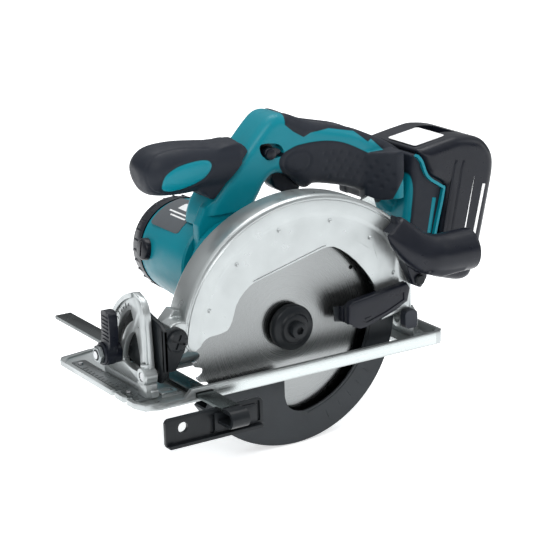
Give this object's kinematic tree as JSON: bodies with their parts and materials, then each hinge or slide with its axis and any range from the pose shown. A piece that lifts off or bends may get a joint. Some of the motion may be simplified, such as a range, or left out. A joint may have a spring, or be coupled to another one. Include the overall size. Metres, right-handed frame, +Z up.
{
  "type": "circular saw",
  "caption": "Cordless circular saw with tilting base, swinging lower guard, side motor, top handle with front grip and slide-on battery.",
  "frame": {"origin": "on the sole of the base plate, under the blade's axis, in the middle of the sole's wide part", "axes": "+Z up from the sole, +X to the rear (battery end), -Y to the blade side"},
  "size_m": [0.3468, 0.279, 0.2402],
  "materials": {
    "cast_aluminium": "cast, satin",
    "drawn_aluminium": "brushed",
    "black_steel": "black oxide and paint",
    "steel": "ground",
    "chrome": "bright plated",
    "copper": "copper windings and laminations",
    "brass": "plain",
    "teal_plastic": "moulded, satin",
    "black_plastic": "moulded, fine texture",
    "soft_grip": "moulded soft grip",
    "grey_label": "printed film, blank"
  },
  "bodies": {
    "base": {"base_plate": "cast_aluminium", "sight_plate": "black_steel", "sight_plate_rivet_1": "steel", "sight_plate_rivet_2": "steel", "bevel_quadrant": "cast_aluminium", "front_bevel_pin": "steel", "rear_bevel_post": "cast_aluminium", "rear_bevel_pin": "steel", "guide_clamp_bridge": "cast_aluminium"},
    "guide": {"rip_guide": "black_steel"},
    "guide_screw": {"guide_clamp_screw": "black_steel"},
    "tilt_frame": {"front_bracket": "black_steel", "depth_pivot_bolt": "black_steel", "depth_pivot_nut": "steel", "bevel_clamp_bolt": "steel", "depth_guide": "drawn_aluminium"},
    "bevel_lever": {"bevel_clamp_lever": "black_plastic", "bevel_clamp_nut": "chrome"},
    "saw_head": {"blade_case": "cast_aluminium", "bearing_retainer": "drawn_aluminium", "dust_nozzle": "black_plastic", "nozzle_screw": "steel", "guard_stop": "soft_grip", "gear_housing": "teal_plastic", "spindle_bearing": "steel", "rotor_front_bearing": "steel", "motor_housing": "teal_plastic", "motor_end_cap": "black_plastic", "brush_cap_1": "black_plastic", "brush_cap_2": "black_plastic", "rating_plate": "grey_label", "field_magnets": "black_steel", "rotor_rear_bearing": "steel", "handle_shell_near": "teal_plastic", "handle_shell_far": "teal_plastic", "switch_body": "black_plastic", "trigger_spring": "steel", "battery_terminal": "brass", "front_grip": "soft_grip", "depth_clamp_bolt": "steel"},
    "lower_guard": {"lower_guard": "black_steel", "guard_lever": "black_plastic"},
    "spindle": {"saw_blade": "steel", "inner_flange": "black_steel", "outer_flange": "black_steel", "spindle": "steel", "blade_bolt": "black_steel", "spindle_gear": "steel"},
    "idler": {"idler_gear": "steel"},
    "rotor": {"armature": "copper", "cooling_fan": "black_plastic"},
    "depth_lever": {"depth_clamp_lever": "black_plastic"},
    "shaft_lock": {"shaft_lock_button": "black_plastic"},
    "trigger": {"trigger": "black_plastic"},
    "lock_off": {"lock_off_button": "black_plastic"},
    "battery": {"battery_case": "black_plastic"},
    "battery_button": {"battery_button": "soft_grip"}
  },
  "joints": [
    {"name": "bevel_tilt", "type": "hinge", "parent": "base", "child": "tilt_frame", "pos_m": [0, -0.0809, 0.0186], "axis": [1, 0, 0], "range_deg": [0, 50]},
    {"name": "bevel_clamp", "type": "hinge", "parent": "tilt_frame", "child": "bevel_lever", "pos_m": [-0.13, -0.03695, 0.02556], "axis": [1, 0, 0], "range_deg": [0, 60]},
    {"name": "cutting_depth", "type": "hinge", "parent": "tilt_frame", "child": "saw_head", "pos_m": [-0.103, -0.077, 0.0445], "axis": [0, -1, 0], "range_deg": [0, 22]},
    {"name": "depth_clamp", "type": "hinge", "parent": "saw_head", "child": "depth_lever", "pos_m": [0.09126, -0.055, 0.0275], "axis": [0, -1, 0], "range_deg": [0, 55]},
    {"name": "guard_swing", "type": "hinge", "parent": "saw_head", "child": "lower_guard", "pos_m": [0, -0.077, 0.0315], "axis": [0, -1, 0], "range_deg": [0, 112], "stiffness_Nm_per_rad": 0.12, "springref_deg": -91.67},
    {"name": "blade_spin", "type": "hinge", "parent": "saw_head", "child": "spindle", "pos_m": [0, -0.077, 0.0315], "axis": [0, 1, 0], "continuous": true},
    {"name": "idler_spin", "type": "hinge", "parent": "saw_head", "child": "idler", "pos_m": [-0.0048, -0.077, 0.05476], "axis": [0, 1, 0], "continuous": true},
    {"name": "rotor_spin", "type": "hinge", "parent": "saw_head", "child": "rotor", "pos_m": [-0.022, -0.077, 0.0715], "axis": [0, 1, 0], "continuous": true},
    {"name": "shaft_lock_press", "type": "slide", "parent": "saw_head", "child": "shaft_lock", "axis": [0, -1, 0], "range_m": [0, 0.003], "stiffness_N_per_m": 600, "springref_m": -0.002},
    {"name": "trigger_pull", "type": "slide", "parent": "saw_head", "child": "trigger", "axis": [0.4202, 0, 0.9074], "range_m": [0, 0.005], "stiffness_N_per_m": 500, "springref_m": -0.003},
    {"name": "lock_off_push", "type": "slide", "parent": "saw_head", "child": "lock_off", "axis": [0, 1, 0], "range_m": [-0.003, 0.003], "stiffness_N_per_m": 500},
    {"name": "battery_slide", "type": "slide", "parent": "saw_head", "child": "battery", "axis": [0.1736, 0, 0.9848], "range_m": [0, 0.085]},
    {"name": "battery_release", "type": "slide", "parent": "battery", "child": "battery_button", "axis": [0.9848, 0, -0.1736], "range_m": [0, 0.003], "stiffness_N_per_m": 600, "springref_m": -0.002},
    {"name": "guide_reach", "type": "slide", "parent": "base", "child": "guide", "axis": [0, -1, 0], "range_m": [0, 0.12]},
    {"name": "guide_clamp", "type": "hinge", "parent": "base", "child": "guide_screw", "pos_m": [-0.0875, 0.001, 0.0165], "axis": [0, 0, 1], "range_deg": [0, 180]}
  ],
  "couplings": [
    {"joint": "idler_spin", "follows": "blade_spin", "ratio": -1.7143},
    {"joint": "rotor_spin", "follows": "blade_spin", "ratio": 5.1429}
  ]
}
